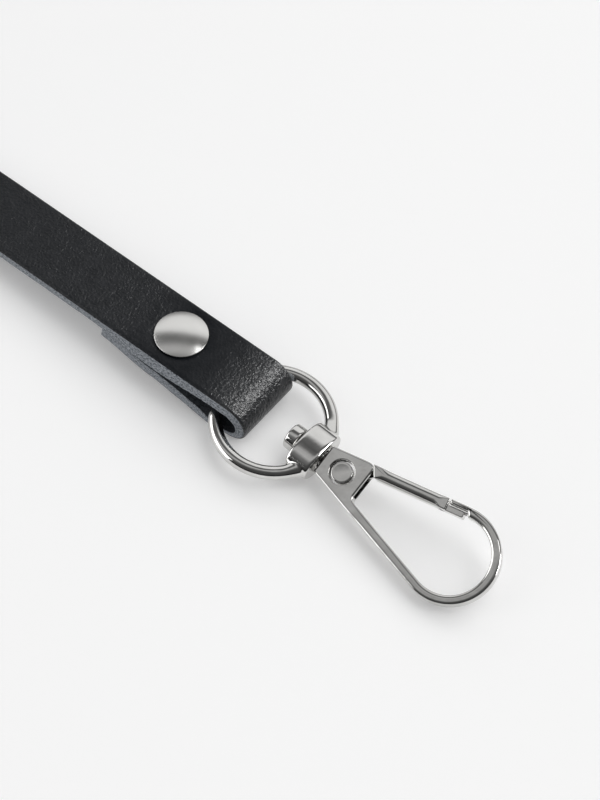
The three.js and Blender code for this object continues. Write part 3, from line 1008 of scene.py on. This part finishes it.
def add_floor():
    """Pale paper. Its small glow keeps the shadows open."""
    mat, n = material("floor_paper")
    shader = n.add("ShaderNodeBsdfPrincipled", in_Roughness=0.9, in_Specular_IOR_Level=0.1)
    shader.inputs["Emission Color"].default_value = (1, 1, 1, 1)
    shader.inputs["Emission Strength"].default_value = 0.18
    place = n.add("ShaderNodeTexCoord").outputs["Object"]
    n.feed(shader.inputs["Base Color"], n.ramp(n.noise(place, 3.0, 2.0), (0.3, 0.88), (0.7, 0.89)))
    finish_material(n, shader)
    mesh = bpy.data.meshes.new("floor")
    corners = [(-1, -1), (1, -1), (1, 1), (-1, 1)]
    mesh.from_pydata([(x * FLOOR_HALF, y * FLOOR_HALF, 0) for x, y in corners], [], [(0, 1, 2, 3)])
    mesh.materials.append(mat)
    floor = bpy.data.objects.new("floor", mesh)
    bpy.context.scene.collection.objects.link(floor)
    floor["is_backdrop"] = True


def add_camera():
    back = Vector((math.sin(CAMERA_AZ) * math.cos(CAMERA_EL), -math.cos(CAMERA_AZ) * math.cos(CAMERA_EL),
                   math.sin(CAMERA_EL)))
    right = Vector((math.cos(CAMERA_AZ), math.sin(CAMERA_AZ), 0))
    up = back.cross(right)
    rolled_right = right * math.cos(CAMERA_ROLL) + up * math.sin(CAMERA_ROLL)
    rolled_up = up * math.cos(CAMERA_ROLL) - right * math.sin(CAMERA_ROLL)
    data = bpy.data.cameras.new("camera")
    data.sensor_width = SENSOR_WIDTH
    data.lens = FOCAL_LENGTH
    data.clip_start = 0.01
    camera = bpy.data.objects.new("camera", data)
    turn = Matrix((rolled_right, rolled_up, back)).transposed().to_4x4()
    camera.matrix_world = Matrix.Translation(TARGET + back * DISTANCE) @ turn
    bpy.context.scene.collection.objects.link(camera)
    bpy.context.scene.camera = camera


def add_world():
    """The room that the metal mirrors: bright beyond the object, with a softer band overhead from side to
    side, and dark behind the camera and near the horizon. The camera itself sees a plain backdrop."""
    world = bpy.data.worlds.new("studio")
    world.use_nodes = True
    n = Nodes(world.node_tree)
    direction = n.add("ShaderNodeTexCoord").outputs["Generated"]
    ahead = n.add("ShaderNodeVectorMath", operation="DOT_PRODUCT")
    n.feed(ahead.inputs[0], direction)
    ahead.inputs[1].default_value = (-math.sin(CAMERA_AZ), math.cos(CAMERA_AZ), 0)
    parts = n.add("ShaderNodeSeparateXYZ")
    n.feed(parts.inputs[0], direction)
    # 0 is level behind the camera, 0.5 is at the sides or overhead and 1 is level beyond the object.
    share = n.math("MULTIPLY", n.math("ADD", ahead.outputs["Value"], 1.0), 0.5)
    sky = n.ramp(share, (0.0, 0.05), (0.26, 0.09), (0.38, 0.22), (0.46, 0.56), (0.54, 0.48),
                 (0.60, 0.17), (0.66, 0.11), (0.73, 0.17), (0.79, 0.95), (1.0, 1.0))
    rise = n.ramp(parts.outputs["Z"], (0.0, 0.06), (0.12, 0.12), (0.3, 0.85), (0.45, 1.0))
    room = n.add("ShaderNodeBackground")
    n.feed(room.inputs["Color"], n.math("MULTIPLY", sky, rise))
    backdrop = n.add("ShaderNodeBackground")
    backdrop.inputs["Color"].default_value = (BACKDROP, BACKDROP, BACKDROP, 1)
    mix = n.add("ShaderNodeMixShader")
    n.feed(mix.inputs[0], n.add("ShaderNodeLightPath").outputs["Is Camera Ray"])
    n.feed(mix.inputs[1], room.outputs[0])
    n.feed(mix.inputs[2], backdrop.outputs[0])
    n.feed(n.add("ShaderNodeOutputWorld").inputs[0], mix.outputs[0])
    bpy.context.scene.world = world


def softbox(name, direction, distance, size, power, mirrored=True, scattered=True):
    """A rectangular light that faces the target. mirrored says whether glossy surfaces show it, and
    scattered whether matt ones do."""
    data = bpy.data.lights.new(name, "AREA")
    data.shape = "RECTANGLE"
    data.size, data.size_y = size
    data.energy = power
    obj = bpy.data.objects.new(name, data)
    obj.location = TARGET + Vector(direction).normalized() * distance
    obj.rotation_euler = Vector(direction).to_track_quat("Z", "Y").to_euler()
    obj.visible_glossy = mirrored
    obj.visible_diffuse = scattered
    bpy.context.scene.collection.objects.link(obj)
    return obj


def link_light(light, receiver, state):
    """Lets a light reach only the receiver (INCLUDE), or everything but it (EXCLUDE)."""
    group = bpy.data.collections.new(f"{light.name}_receivers")
    group.objects.link(receiver)
    group.collection_objects[0].light_linking.link_state = state
    light.light_linking.receiver_collection = group


add_floor()
add_camera()
add_world()
softbox("overhead", (0.30, 0.50, 0.81), 1.5, (1.7, 1.7), 13.1, mirrored=False)
softbox("fill", (-0.35, -0.75, 0.56), 1.5, (2.4, 2.0), 9.0, mirrored=False)
softbox("key", (0.336, 0.298, 0.889), 1.2, (0.22, 0.22), 0.45)
softbox("left", (-0.80, -0.58, 0.31), 1.2, (1.3, 0.72), 7.5, scattered=False)
low_right = softbox("right", (0.83, 0.44, 0.28), 1.2, (0.55, 0.4), 9.0, scattered=False)
link_light(low_right, strap, "EXCLUDE")
sheen = softbox("sheen", (0.31, 0.437, 0.844), 1.2, (0.25, 0.25), 27.0, scattered=False)
link_light(sheen, strap, "INCLUDE")
bpy.context.scene.view_settings.view_transform = "Standard"

low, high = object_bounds()
